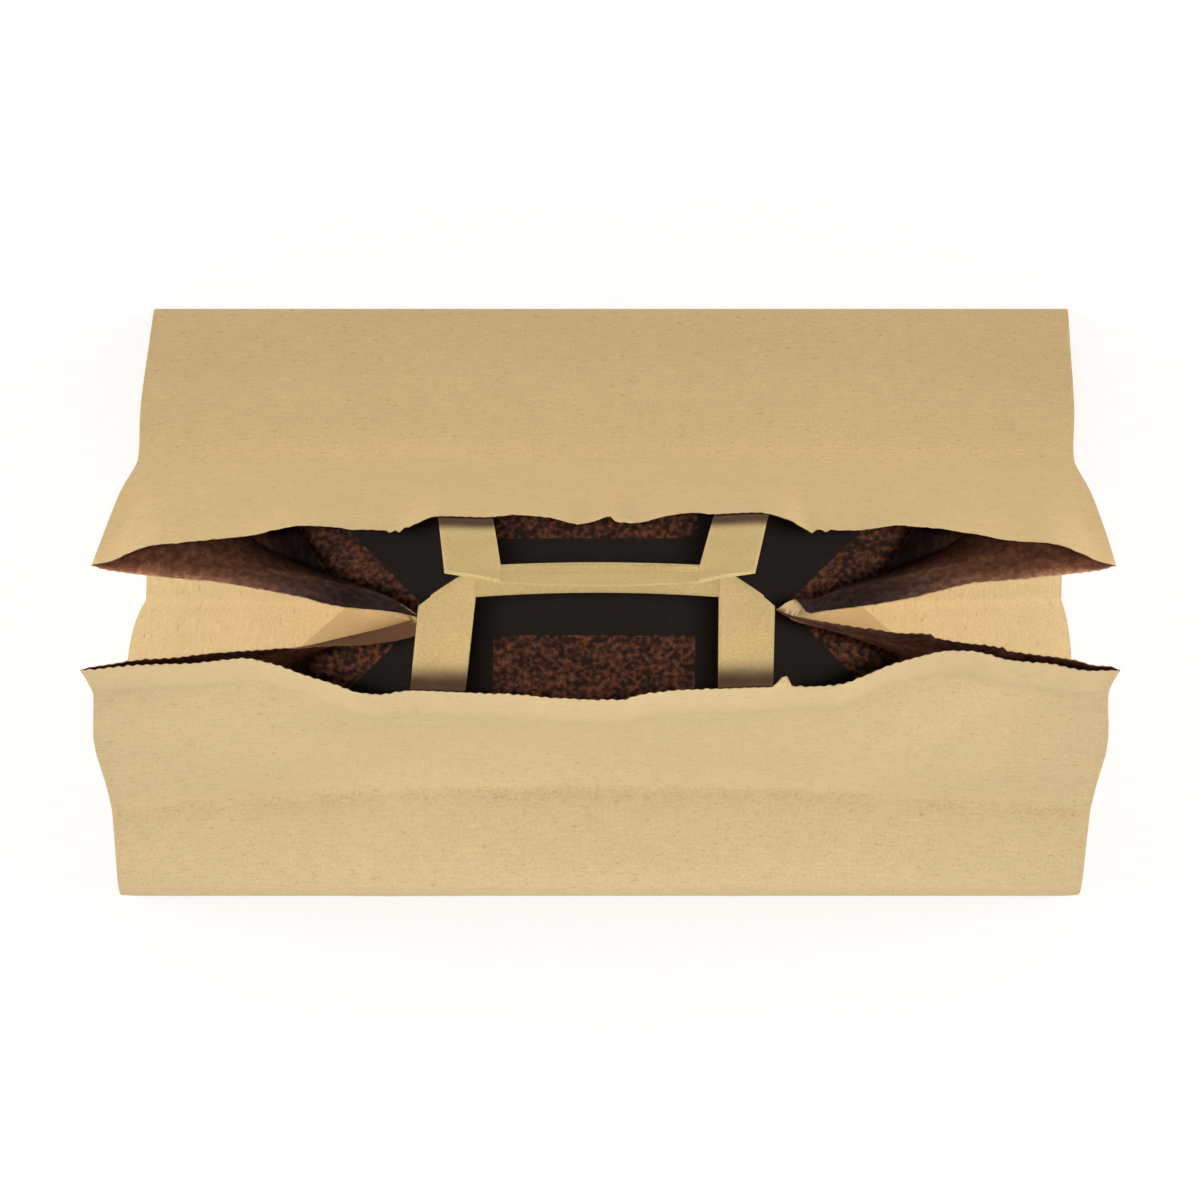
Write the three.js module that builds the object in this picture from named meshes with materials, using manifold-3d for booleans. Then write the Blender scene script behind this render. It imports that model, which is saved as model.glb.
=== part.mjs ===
// Kraft paper carrier bag: one folded sheet with a block bottom and pushed-in side gussets,
// and two flat tape handles, each glued inside a panel under a paper patch.
// Millimetres, +Z up. The origin is the middle of the base, on the surface the bag stands on.
// +X runs along the width of the bag, and the front panel is on the -Y side.
import * as THREE from 'three';
import { mergeVertices } from 'three/addons/utils/BufferGeometryUtils.js';
import Module from 'manifold-3d';

const wasm = await Module();
wasm.setup();

// Sheet
const BAG_WIDTH = 320;
const BASE_DEPTH = 206;
const SHEET_HEIGHT = 226;
const PAPER_THICKNESS = 0.4;

// Folds across the panels, as paper heights above the base edge
const BEND_HEIGHT = 64;
const BAND_DEPTH = 46;
const FOLD_HEIGHTS = [BEND_HEIGHT, BASE_DEPTH / 2, SHEET_HEIGHT - BAND_DEPTH, SHEET_HEIGHT];

// Inward lean of each panel between its folds, in degrees from upright, at the corners and in the middle
const FRONT_CORNER_LEAN = [-4.5, 39, 23, 2];
const FRONT_MIDDLE_LEAN = [-4.5, 74, 8.5, 2];
const BACK_CORNER_LEAN = [40.5, 40.5, 25, 25];
const BACK_MIDDLE_LEAN = [40.5, 40.5, 17, 17];

// Wave of the mouth edge from a side corner to the flat stretch over the patch: share of that way along the
// panel, and share of the way from the corner's lean to the middle's
const FRONT_MOUTH_WAVE = [[0, 0], [0.29, -0.1], [0.65, -0.45], [0.89, 0.05], [1, 1]];
const BACK_MOUTH_WAVE = [[0, 0], [0.16, 0.42], [0.44, 0.62], [0.86, 0.95], [1, 1]];
const SAG_POWER = 2.5;

// Side gussets
const SIDE_DENT = 3;
const GUSSET_FACET_TILT = 44;
const GUSSET_APEX_Y = -12;
const GUSSET_TIP_DROP = 8;

// Block bottom
const FLAP_OVERLAP = 34;
const FLAP_SHIFT = 4.5;
const FLAP_INSET = 2.5;

// Handles and their patches
const TAPE_WIDTH = 17;
const TAPE_THICKNESS = 0.8;
const FRONT_LEG_SPACING = 92;
const BACK_LEG_SPACING = 84;
const LEG_LENGTH = 112;
const FRONT_LEG_GLUED = 48;
const BACK_LEG_GLUED = 22;
const BACK_HANDLE_LEAN = 21.5;
const PATCH_LENGTH = 140;
const PATCH_HEIGHT = 42;
const PATCH_DROP = 10;
const PATCH_THICKNESS = 0.4;
const GLUE_GAP = 0.3;
const FOLD_BITE = 0.1;

// Facets of the sheet
const PANEL_COLUMNS = 24;
const ROWS_BETWEEN_FOLDS = [5, 3, 5, 3];

const halfWidth = BAG_WIDTH / 2;
const halfDepth = BASE_DEPTH / 2;
const flatHalf = PATCH_LENGTH / 2 + BAG_WIDTH / PANEL_COLUMNS;

// Paper heights of the grid rows, and the paper distances of the gusset columns from the corner fold.
// Both have the same steps up to the gusset's apex, so its slanting folds run through grid points.
const rowHeights = [0];
FOLD_HEIGHTS.forEach((top, fold) => {
  const bottom = rowHeights[rowHeights.length - 1];
  for (let step = 1; step <= ROWS_BETWEEN_FOLDS[fold]; step++) {
    rowHeights.push(bottom + (top - bottom) * step / ROWS_BETWEEN_FOLDS[fold]);
  }
});
const gussetSteps = rowHeights.filter((height) => height <= halfDepth);

// A point of a panel's side profile at a paper height: y is measured inwards, from the panel's own side.
function profilePoint(leans, height) {
  let y = -halfDepth;
  let z = 0;
  let below = 0;
  FOLD_HEIGHTS.forEach((top, fold) => {
    const length = THREE.MathUtils.clamp(height, below, top) - below;
    const lean = THREE.MathUtils.degToRad(leans[fold]);
    y += length * Math.sin(lean);
    z += length * Math.cos(lean);
    below = top;
  });
  return new THREE.Vector2(y, z);
}

// Value of a wave at a share of its way, eased between its stations.
function waveValue(wave, share) {
  const next = wave.findIndex(([place]) => place >= share);
  if (next < 0) return wave[wave.length - 1][1];
  if (next === 0) return wave[0][1];
  const [startPlace, startValue] = wave[next - 1];
  const [endPlace, endValue] = wave[next];
  const eased = THREE.MathUtils.smoothstep(share, startPlace, endPlace);
  return THREE.MathUtils.lerp(startValue, endValue, eased);
}

// A point of a panel: even sag below the crease, turning into the wave of the mouth over the band.
// Where the wave swings out past the corner's lean, the paper stays as high as at the corner.
function panelPoint(panel, x, height) {
  const corner = profilePoint(panel.cornerLean, height);
  const middle = profilePoint(panel.middleLean, height);
  const sag = 1 - Math.pow(Math.abs(x) / halfWidth, SAG_POWER);
  const wave = waveValue(panel.wave, (halfWidth - Math.abs(x)) / (halfWidth - flatHalf));
  const share = THREE.MathUtils.clamp((height - FOLD_HEIGHTS[1]) / (FOLD_HEIGHTS[2] - FOLD_HEIGHTS[1]), 0, 1);
  const swing = THREE.MathUtils.lerp(sag, wave, share);
  const y = THREE.MathUtils.lerp(corner.x, middle.x, swing);
  const z = THREE.MathUtils.lerp(corner.y, middle.y, Math.max(swing, 0));
  return new THREE.Vector3(x, panel.facing * y, z);
}

const front = { facing: 1, cornerLean: FRONT_CORNER_LEAN, middleLean: FRONT_MIDDLE_LEAN, wave: FRONT_MOUTH_WAVE };
const back = { facing: -1, cornerLean: BACK_CORNER_LEAN, middleLean: BACK_MIDDLE_LEAN, wave: BACK_MOUTH_WAVE };

// Fold lines of the right-hand gusset. The tip of the mouth lies half a gusset's paper from both corners.
const facetTilt = THREE.MathUtils.degToRad(GUSSET_FACET_TILT);
const gussetFoot = new THREE.Vector3(halfWidth - SIDE_DENT, 0, 0);
const gussetApex = new THREE.Vector3(
  halfWidth - halfDepth * Math.cos(facetTilt), GUSSET_APEX_Y, halfDepth * Math.sin(facetTilt));
const mouthCorners = [front, back].map((panel) => panelPoint(panel, halfWidth, SHEET_HEIGHT));
const halfGap = mouthCorners[0].distanceTo(mouthCorners[1]) / 2;
const gussetTip = mouthCorners[0].clone().lerp(mouthCorners[1], 0.5);
gussetTip.x -= Math.sqrt(halfDepth ** 2 - halfGap ** 2);
gussetTip.z -= GUSSET_TIP_DROP;

// A point of one half of the right-hand gusset, between the panel's corner fold and the centre fold.
function gussetPoint(panel, fromCorner, height) {
  const baseCorner = panelPoint(panel, halfWidth, 0);
  if (fromCorner > height) {
    const along = gussetFoot.clone().sub(baseCorner).multiplyScalar((fromCorner - height) / halfDepth);
    return baseCorner.lerp(gussetApex, height / halfDepth).add(along);
  }
  const corner = panelPoint(panel, halfWidth, height);
  if (height <= halfDepth) {
    const onSlant = baseCorner.lerp(gussetApex, height / halfDepth);
    return height > 0 ? corner.lerp(onSlant, fromCorner / height) : corner;
  }
  const onFold = gussetApex.clone().lerp(gussetTip, (height - halfDepth) / (SHEET_HEIGHT - halfDepth));
  return corner.lerp(onFold, fromCorner / halfDepth);
}

// The columns of the sheet in order round the bag, seen from above, anticlockwise from the front left corner.
// Each has a function from paper height to a point, and the way its cells' diagonals run.
function sheetColumns() {
  const mirrored = (point) => point.setX(-point.x);
  const inward = gussetSteps.slice(0, -1);
  const outward = gussetSteps.slice(1).reverse();
  const columns = [];
  for (let step = 0; step < PANEL_COLUMNS; step++) {
    const x = -halfWidth + BAG_WIDTH * step / PANEL_COLUMNS;
    columns.push({ at: (height) => panelPoint(front, x, height), rising: x < 0 });
  }
  inward.forEach((a) => columns.push({ at: (height) => gussetPoint(front, a, height), rising: true }));
  outward.forEach((a) => columns.push({ at: (height) => gussetPoint(back, a, height), rising: false }));
  for (let step = 0; step < PANEL_COLUMNS; step++) {
    const x = halfWidth - BAG_WIDTH * step / PANEL_COLUMNS;
    columns.push({ at: (height) => panelPoint(back, x, height), rising: x > 0 });
  }
  inward.forEach((a) => columns.push({ at: (height) => mirrored(gussetPoint(back, a, height)), rising: true }));
  outward.forEach((a) => columns.push({ at: (height) => mirrored(gussetPoint(front, a, height)), rising: false }));
  return columns;
}

// The inner face of a row of the sheet: each point moved square to its neighbouring edges by the paper's thickness.
function innerRow(row) {
  return row.map((point, index) => {
    const before = row[(index + row.length - 1) % row.length];
    const after = row[(index + 1) % row.length];
    const normals = [[before, point], [point, after]].map(([start, end]) => {
      return new THREE.Vector2(start.y - end.y, end.x - start.x).normalize();
    });
    const mitre = normals[0].clone().add(normals[1]).divideScalar(1 + normals[0].dot(normals[1]));
    const inner = point.clone();
    inner.x += mitre.x * PAPER_THICKNESS;
    inner.y += mitre.y * PAPER_THICKNESS;
    return inner;
  });
}

// The folded sheet as a closed shell, with an open mouth and a single-layer base.
function sheetShell() {
  const columns = sheetColumns();
  const outer = rowHeights.map((height) => columns.map((column) => column.at(height)));
  const inner = outer.map(innerRow);
  inner[0].forEach((point) => point.setZ(PAPER_THICKNESS));
  const count = columns.length;
  const points = [...outer.flat(), ...inner.flat()];
  const innerStart = outer.length * count;
  const triangles = [];
  for (let row = 0; row + 1 < outer.length; row++) {
    for (let column = 0; column < count; column++) {
      const next = (column + 1) % count;
      const [a, b, c, d] = [row * count + column, row * count + next, (row + 1) * count + next, (row + 1) * count + column];
      const cell = columns[column].rising ? [[a, b, c], [a, c, d]] : [[a, b, d], [b, c, d]];
      cell.forEach(([i, j, k]) => {
        triangles.push(i, j, k);
        triangles.push(innerStart + i, innerStart + k, innerStart + j);
      });
    }
  }
  const rim = (outer.length - 1) * count;
  for (let column = 0; column < count; column++) {
    const next = (column + 1) % count;
    triangles.push(rim + column, rim + next, innerStart + rim + next);
    triangles.push(rim + column, innerStart + rim + next, innerStart + rim + column);
  }
  const outline = (row) => row.map((point) => new THREE.Vector2(point.x, point.y));
  THREE.ShapeUtils.triangulateShape(outline(outer[0]), []).forEach(([i, j, k]) => triangles.push(i, k, j));
  THREE.ShapeUtils.triangulateShape(outline(inner[0]), []).forEach(([i, j, k]) => {
    triangles.push(innerStart + i, innerStart + j, innerStart + k);
  });
  const geometry = new THREE.BufferGeometry().setFromPoints(points);
  geometry.setIndex(triangles);
  return geometry;
}

function solid(geometry) {
  const bare = geometry.clone();
  bare.deleteAttribute('normal');
  bare.deleteAttribute('uv');
  const merged = mergeVertices(bare);
  return new wasm.Manifold(new wasm.Mesh({
    numProp: 3,
    vertProperties: new Float32Array(merged.attributes.position.array),
    triVerts: new Uint32Array(merged.index.array),
  }));
}

function namedMesh(name, body, colour) {
  const { vertProperties, triVerts } = body.getMesh();
  const geometry = new THREE.BufferGeometry();
  geometry.setAttribute('position', new THREE.BufferAttribute(vertProperties, 3));
  geometry.setIndex(new THREE.BufferAttribute(triVerts, 1));
  geometry.computeVertexNormals();
  const mesh = new THREE.Mesh(geometry, new THREE.MeshStandardMaterial({ color: colour, roughness: 0.9, metalness: 0 }));
  mesh.name = name;
  return mesh;
}

// A flat outline of [x, y] points given a depth along z.
function plate(outline, depth) {
  const shape = new THREE.Shape(outline.map(([x, y]) => new THREE.Vector2(x, y)));
  return new THREE.ExtrudeGeometry(shape, { depth, bevelEnabled: false });
}

// Layers that the bottom flaps add on the inside: at each end the folded ear with its two slanting pleats,
// and across the middle the strip where the front and back flaps overlap.
function bottomLayers() {
  const foot = PAPER_THICKNESS / 2;
  const edge = halfDepth - FLAP_INSET;
  const earEnd = halfWidth - halfDepth - FLAP_OVERLAP / 2;
  const ear = (side) => {
    const outline = [
      [side * earEnd, -edge], [side * (halfWidth - FLAP_INSET * 2), -edge],
      [side * (halfWidth - halfDepth), 0],
      [side * (halfWidth - FLAP_INSET * 2), edge], [side * earEnd, edge],
    ];
    return plate(outline, 3 * PAPER_THICKNESS - foot).translate(0, 0, foot);
  };
  const reach = halfWidth - halfDepth;
  const [near, far] = [FLAP_SHIFT - FLAP_OVERLAP / 2, FLAP_SHIFT + FLAP_OVERLAP / 2];
  const strip = plate([[-reach, near], [reach, near], [reach, far], [-reach, far]], 2 * PAPER_THICKNESS - foot);
  strip.translate(0, 0, foot);
  return [ear(1), ear(-1), strip];
}

// A band of even thickness along a side profile of [y, z] points, given its width along x.
// The path is the side of the band that faces the panel, and the band lies inwards of it.
function profileBand(path, thickness, width) {
  const directions = path.slice(1).map((point, index) => point.clone().sub(path[index]).normalize());
  const far = path.map((point, index) => {
    const before = directions[Math.max(index - 1, 0)];
    const after = directions[Math.min(index, directions.length - 1)];
    const normals = [before, after].map((direction) => new THREE.Vector2(direction.y, -direction.x));
    const mitre = normals[0].clone().add(normals[1]).divideScalar(1 + normals[0].dot(normals[1]));
    return point.clone().addScaledVector(mitre, thickness);
  });
  const outline = [...path, ...far.reverse()].map((point) => [point.x, point.y]);
  const toProfile = new THREE.Matrix4().makeBasis(
    new THREE.Vector3(0, 1, 0), new THREE.Vector3(0, 0, 1), new THREE.Vector3(1, 0, 0));
  return plate(outline, width).applyMatrix4(toProfile).translate(-width / 2, 0, 0);
}

// Where a handle leg crosses the mouth, on its side that faces the panel, and the way the band leans there.
function legSeat(panel) {
  const mouth = profilePoint(panel.middleLean, SHEET_HEIGHT);
  const bandFoot = profilePoint(panel.middleLean, FOLD_HEIGHTS[2]);
  const up = mouth.clone().sub(bandFoot).normalize();
  mouth.x += (PAPER_THICKNESS + GLUE_GAP) / up.y;
  return { mouth, up };
}

// A tape handle, seen from its own panel: two legs from inside the panel up to folds at 45 degrees,
// and a crossbar that passes behind the legs.
function handleSolid(panel, spacing, glued, lean) {
  const rise = LEG_LENGTH - glued;
  const { mouth, up } = legSeat(panel);
  const along = new THREE.Vector2(Math.sin(lean), Math.cos(lean));
  const path = [mouth.clone().addScaledVector(up, -glued), mouth, mouth.clone().addScaledVector(along, rise)];
  const inner = spacing / 2 - TAPE_WIDTH / 2;
  const outer = spacing / 2 + TAPE_WIDTH / 2;
  const toPlane = new THREE.Matrix4().makeBasis(
    new THREE.Vector3(1, 0, 0), new THREE.Vector3(0, along.x, along.y), new THREE.Vector3(0, -along.y, along.x));
  toPlane.setPosition(0, mouth.x, mouth.y);
  const crossbar = plate([[-outer, rise - TAPE_WIDTH], [outer, rise - TAPE_WIDTH], [inner, rise], [-inner, rise]],
    TAPE_THICKNESS + FOLD_BITE).translate(0, 0, -2 * TAPE_THICKNESS).applyMatrix4(toPlane);
  let handle = solid(crossbar);
  [1, -1].forEach((side) => {
    const leg = solid(profileBand(path, TAPE_THICKNESS, TAPE_WIDTH).translate(side * spacing / 2, 0, 0));
    const corner = [[inner, rise], [outer, rise - TAPE_WIDTH], [outer + TAPE_WIDTH, rise], [outer, rise + TAPE_WIDTH]];
    const waste = plate(corner.map(([x, y]) => [side * x, y]), 4 * TAPE_THICKNESS);
    waste.translate(0, 0, -2 * TAPE_THICKNESS).applyMatrix4(toPlane);
    handle = handle.add(leg.subtract(solid(waste)));
  });
  return handle;
}

// The patch that covers the glued ends of a handle, seen from its own panel.
function patchSolid(panel) {
  const { mouth, up } = legSeat(panel);
  const top = mouth.clone().addScaledVector(up, -PATCH_DROP);
  top.x += (TAPE_THICKNESS + GLUE_GAP) / up.y;
  const path = [top.clone().addScaledVector(up, -PATCH_HEIGHT), top];
  return solid(profileBand(path, PATCH_THICKNESS, PATCH_LENGTH));
}

// Lean of the front handle that brings its top edge a glue gap from the back handle, which lies over it.
// Each handle is two tapes thick at its crossbar, on the side that faces the other handle.
function frontHandleLean() {
  const backLean = THREE.MathUtils.degToRad(BACK_HANDLE_LEAN);
  const towardsFront = new THREE.Vector2(-Math.cos(backLean), -Math.sin(backLean));
  const backSeat = legSeat(back).mouth;
  const backFace = new THREE.Vector2(-backSeat.x, backSeat.y);
  backFace.addScaledVector(towardsFront, 2 * TAPE_THICKNESS + GLUE_GAP);
  const room = towardsFront.dot(legSeat(front).mouth.sub(backFace));
  const rise = LEG_LENGTH - FRONT_LEG_GLUED;
  const cornerReach = Math.hypot(rise, 2 * TAPE_THICKNESS);
  const cornerAngle = Math.atan2(2 * TAPE_THICKNESS, rise);
  return Math.asin(room / cornerReach) - cornerAngle - backLean;
}

const KRAFT_SHEET = 0xd3b983;
const KRAFT_TAPE = 0xcbb184;
const KRAFT_PATCH = 0xbfa272;

const bag = new THREE.Group();
const body = bottomLayers().reduce((shell, layer) => shell.add(solid(layer)), solid(sheetShell()));
bag.add(namedMesh('bag_body', body, KRAFT_SHEET));

const frontLean = frontHandleLean();
const frontSide = new THREE.Group();
frontSide.add(namedMesh('front_handle', handleSolid(front, FRONT_LEG_SPACING, FRONT_LEG_GLUED, frontLean), KRAFT_TAPE));
frontSide.add(namedMesh('front_handle_patch', patchSolid(front), KRAFT_PATCH));
bag.add(frontSide);

// The back panel's pieces are made as seen from that panel, and turned to face it.
const backSide = new THREE.Group();
backSide.rotation.z = Math.PI;
const backLean = THREE.MathUtils.degToRad(BACK_HANDLE_LEAN);
backSide.add(namedMesh('back_handle', handleSolid(back, BACK_LEG_SPACING, BACK_LEG_GLUED, backLean), KRAFT_TAPE));
backSide.add(namedMesh('back_handle_patch', patchSolid(back), KRAFT_PATCH));
bag.add(backSide);

export default bag;
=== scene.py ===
"""Looks of a kraft paper carrier bag: its folded sheet, block bottom, tape handles and patches.

The shapes are worked out in millimetres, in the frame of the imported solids, and the meshes are in metres.
"""
import math

import bmesh
import bpy
import numpy as np
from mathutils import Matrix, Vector


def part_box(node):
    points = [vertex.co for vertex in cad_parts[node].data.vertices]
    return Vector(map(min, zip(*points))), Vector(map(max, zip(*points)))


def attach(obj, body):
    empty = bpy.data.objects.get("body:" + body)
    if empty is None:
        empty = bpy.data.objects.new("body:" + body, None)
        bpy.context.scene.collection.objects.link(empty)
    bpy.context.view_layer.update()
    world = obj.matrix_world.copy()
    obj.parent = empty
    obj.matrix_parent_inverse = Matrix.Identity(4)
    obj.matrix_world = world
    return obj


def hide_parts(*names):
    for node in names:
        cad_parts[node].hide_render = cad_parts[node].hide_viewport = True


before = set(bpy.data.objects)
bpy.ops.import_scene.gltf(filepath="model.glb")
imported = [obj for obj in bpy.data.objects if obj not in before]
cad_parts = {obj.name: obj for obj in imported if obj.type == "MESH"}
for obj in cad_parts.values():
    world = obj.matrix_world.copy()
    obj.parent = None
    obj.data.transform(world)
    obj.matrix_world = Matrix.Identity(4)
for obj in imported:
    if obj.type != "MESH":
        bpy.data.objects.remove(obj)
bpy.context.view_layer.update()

MM = 0.001

# Sheet
sheet_low, sheet_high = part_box("bag_body")
BAG_WIDTH = (sheet_high.x - sheet_low.x) / MM
BASE_DEPTH = 206
SHEET_HEIGHT = 226
PAPER_THICKNESS = 0.25

# Folds across the panels, as paper heights above the base edge, and how far each one's bend is spread
BEND_HEIGHT = 64
CREASE_HEIGHT = BASE_DEPTH / 2
BAND_HEIGHT = 180
FOLD_HEIGHTS = (BEND_HEIGHT, CREASE_HEIGHT, BAND_HEIGHT)
FRONT_SPREADS = (13, 2.0, 2.5)
BACK_SPREADS = (13, 6, 4)

# Inward lean of each panel between its folds, in degrees from upright, at the corners and in the middle
FRONT_CORNER_LEAN = (-4.5, 39, 23, 2)
FRONT_MIDDLE_LEAN = (-4.5, 74, 8.5, 2)
BACK_CORNER_LEAN = (40.5, 40.5, 25, 25)
BACK_MIDDLE_LEAN = (40.5, 40.5, 17, 17)

# Sag of the panels between their corners, and the places along the width where their mouths turn level
SAG_POWER = 2.5
FRONT_SAG = 0.65
BACK_SAG = 1
LEVEL_INNER = 62
LEVEL_OUTER = 112

# Outward bulge of the corner folds of each panel: how far, at which paper height, and over what height
FRONT_CORNER_BULGE = (2.6, 148, 24)
BACK_CORNER_BULGE = (-2.2, 103, 25)
BULGE_POWER = 8

# Mouth edges: place along the width, and shift towards the back from the line between the side corners
FRONT_MOUTH = (
    (-160, 0), (-156, 0.2), (-148, 0.9), (-138, 1.4), (-127, 1.9), (-119, 2.7), (-110, 3.4),
    (-105, 2.7), (-99, 1.1), (-91, -1.1), (-81, -3.9), (-76, -5.6), (-69, -6.2), (-59, -4.9),
    (-42, -5.5), (-29, -6), (-14, -7.3), (5, -7.7), (14, -5.8), (26, -4.9), (52, -3.9),
    (66, -3.8), (75, -3.1), (79, -1.6), (89, 2.2), (100, 4.8), (107, 5.9), (112, 5.8),
    (126, 2.6), (138, 1.5), (150, -0.3), (160, 0))
BACK_MOUTH = (
    (-160, 0), (-154, 1.5), (-148, 4.3), (-140, 6.8), (-129, 7.8), (-111, 9.6), (-94, 12.5),
    (-84, 11.6), (-77, 10.5), (-66, 10.4), (-59, 12.6), (-52, 14.7), (-37, 14.4), (-29, 15.3),
    (-18, 14.4), (-8, 12.2), (2, 14.6), (3.2, 12.8), (8, 12.5), (21, 15.3), (27, 15.8),
    (33, 15.3), (47, 15.9), (51, 15.4), (57, 13.7), (63, 10.6), (76, 10.5), (85, 11.6),
    (93, 12.5), (103, 12.1), (110, 11.2), (130, 7.8), (140, 7.1), (149, 4), (154, 1.6), (160, 0))

# Cut edge at the mouth: its teeth, its fray from tooth to tooth, and its broader unevenness,
# with the number of columns that each bump takes
PINK_PITCH = 2.9
PINK_DEPTH = 0.5
TOOTH_CURL = 0.11
FRAY = 0.07
FRAY_HEIGHT = 3
BROAD_FRAY = 0.2
BROAD_COLUMNS = 6

# A handle's leg holds the cut edge flat: up to how far from its middle, over what length that fades there,
# and by which share
LEG_HOLD = 13
LEG_HOLD_CHANGE = 3
LEG_HOLD_SHARE = 0.9

# Torn places of the mouth edges: start and end along the width, and shift towards the back at the end
FRONT_TEARS = ((53.3, 56.7, 3.6),)
BACK_TEARS = (
    (-68, -66.5, -0.9), (-64.5, -63, -1.5), (-61.5, -60.3, -0.8), (62.5, 65, -1.6), (67.5, 68.6, -0.8))
TEAR_END = 0.1
TEAR_LIFT = 0.3

# The bag stands a little askew: its back is pushed to the right of its front
SKEW = 0.0185

# Its upper corners are drawn in: height, and how far, on the right-hand side of each panel
FRONT_PULL = ((-10, 0), (95, 0), (150, 1.1), (200, 2.1), (300, 2.1))
BACK_PULL = ((-10, 0), (0, 0), (25, 0.9), (50, 1.7), (85, 2.3), (125, 1.6), (190, 0.7), (300, 0.7))
LEFT_PULL_SHARE = 0.45
PULL_POWER = 3
PULL_FRONT_Y = -80
PULL_BACK_Y = 20

# Soft unevenness of the paper: height and width of its bumps
RUMPLES = ((0.3, 46), (0.16, 19), (0.1, 8))

# On a panel it grows from the corner folds and the base edge, and calms down towards the mouth:
# from which paper height, over what height, and to which share
RUMPLE_FROM_CORNER = 50
RUMPLE_FROM_BASE = 25
PANEL_CALM = (150, 40, 0.35)

# On a gusset it has a share of its height, and fades towards the folds and the base
HALF_RUMPLE = 0.7
HALF_RUMPLE_FROM_CORNER = (0.2, 0.4)
HALF_RUMPLE_FROM_BASE = 60
FACET_RUMPLE = 0.6
FACET_RUMPLE_FROM_FOLD = 20

# The paper's thickness grows from the base edge and from the sharp corner folds,
# where a share of it is left
THICK_FROM_BASE = 4
THICK_FROM_CORNER = 9
CORNER_THICKNESS = 0.15

# Wear of the panels' crease and band folds, its spread below each fold, and wear along the corner folds
FRONT_FOLD_WEAR = (1, 0.45)
BACK_FOLD_WEAR = (0.2, 0.1)
FOLD_WEAR_SPREADS = (4, 3)
WEAR_BELOW_FOLD = 0.6
CORNER_WEAR = 0.5
CORNER_WEAR_SPREAD = 1.5

# Painted light and shade of the panel paper by height, and how much paler than the gussets it is painted
FRONT_PAINTED_LIGHT = (
    (0, 1.02), (80, 1.01), (101, 0.97), (104.5, 1), (118, 0.98), (178, 0.97), (195, 1.06), (240, 1.09))
BACK_PAINTED_LIGHT = ((0, 0.91), (60, 0.94), (85, 0.96), (115, 1.04), (240, 1.06))
# Painted shade towards the sides of the front panel
FRONT_SIDE_SHADE = 0.05
FRONT_PALENESS = 0.1
BACK_PALENESS = -0.07
PALENESS_GREEN = 0.35

# Front handle's patch, which shows through the panel: how far to either side, from which paper height,
# and how much lighter
PATCH_SHOWING = (58, 176, 0.025)
PATCH_EDGE = 0.5

# Side gussets. The base edge of a side has a dent at the gusset's foot and a bulge along its front half
RIGHT_SIDE = (1.6, 3.9)
LEFT_SIDE = (0.3, 6.5)
BULGE_START = 0.5
BULGE_END = 0.1
GUSSET_FACET_TILT = 44
GUSSET_APEX_Y = -12
GUSSET_TIP_DROP = 8
FRONT_HALF_PUFF = 4
BACK_HALF_PUFF = 9
PUFF_POWER = 8
HALF_EDGE_SHARE = 0.25

# Ridge of the facet's centre fold with its ends, its wear, painted highlight, and painted shade beside it
CENTRE_RIDGE = 0.5
RIDGE_SPREAD = 2
RIDGE_FROM_BASE = 6
RIDGE_FROM_APEX = 30
CENTRE_SPREAD = 1.2
CENTRE_WEAR = 0.3
CENTRE_LIGHT = 0.07
CENTRE_SHADE = (0.05, 3, 2)

# Painted shade on the tip of the gusset's front half: its start and length across the half, its change
# below the band, how dark it makes the paper, and what its green and blue lose
PAINTED_SHADE_START = (0.45, 0.25)
PAINTED_SHADE_BELOW_BAND = 8
TIP_PAINTED_SHADE = 0.203
PAINTED_SHADE_TINT = (0.36, 0.43)

# Painted shade and light inside the gusset halves, from the corner to a share of the way to the tip,
# and its change deeper down. Paper in painted shade keeps more of its green and blue
FRONT_HALF_SHADES = (1, 0.5)
FRONT_SHADE_END = 0.5
BACK_HALF_SHADES = (1.9, 0.1)
BACK_SHADE_END = 0.81
DEEP_SHADE = 2
DEEP_HEIGHT = 172
DEEP_CHANGE = 30
SHADE_POWERS = (-0.1, -0.3)

# Mouth edges of the gusset halves: share of the way from the corner to the tip, and shift towards the back
LEFT_FRONT_MOUTH = (
    (0, 0), (0.025, 0.5), (0.15, 0.7), (0.3, -0.3), (0.395, -0.6), (0.49, -1.6), (0.68, -3.2),
    (0.87, -4.8), (0.96, -4.2), (1, 0.4))
LEFT_BACK_MOUTH = (
    (0, 0), (0.05, -0.6), (0.16, -0.1), (0.28, 0.5), (0.4, 1.6), (0.52, 1.5), (0.65, 1.2),
    (0.74, 0), (0.89, 0.8), (1, 0.4))
RIGHT_FRONT_MOUTH = (
    (0, 0), (0.03, 0.8), (0.08, 0.4), (0.15, 1.3), (0.345, 0.7), (0.36, 1.4), (0.4, 1.3),
    (0.5, 1.2), (0.57, 1.3), (0.585, 2.1), (0.7, 1.3), (0.81, 1.5), (0.95, 2.4), (1, 3.6))
RIGHT_BACK_MOUTH = (
    (0, 0), (0.05, -0.6), (0.18, 0.2), (0.3, 0.8), (0.47, 1.9), (0.61, 0.9), (0.74, 0.6),
    (0.86, 0.6), (0.905, 0.5), (0.95, 5.8), (1, 3.6))
LEFT_TIP_REACH = 4.5
RIGHT_TIP_REACH = 5.7
TIP_REACH_SPAN = (0.6, 0.4)

# Block bottom: its flaps, the inner ends of the left and right ear, the outward shifts of their slanting
# front and back edges, and the levels of its layers from below
FLAP_OVERLAP = 34
FLAP_SHIFT = 4.5
FLAP_INSET = 2.5
EAR_ENDS = (-38.6, 31.5)
EAR_SHIFTS = ((0, 8.3), (3, 7.3))
PLATE_INSET = 1.3
FLAP_TOP = 0.25
PLATE_TOP = 0.5
EAR_TOP = 1.2
OVERLAP_TOP = 1.3

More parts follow.
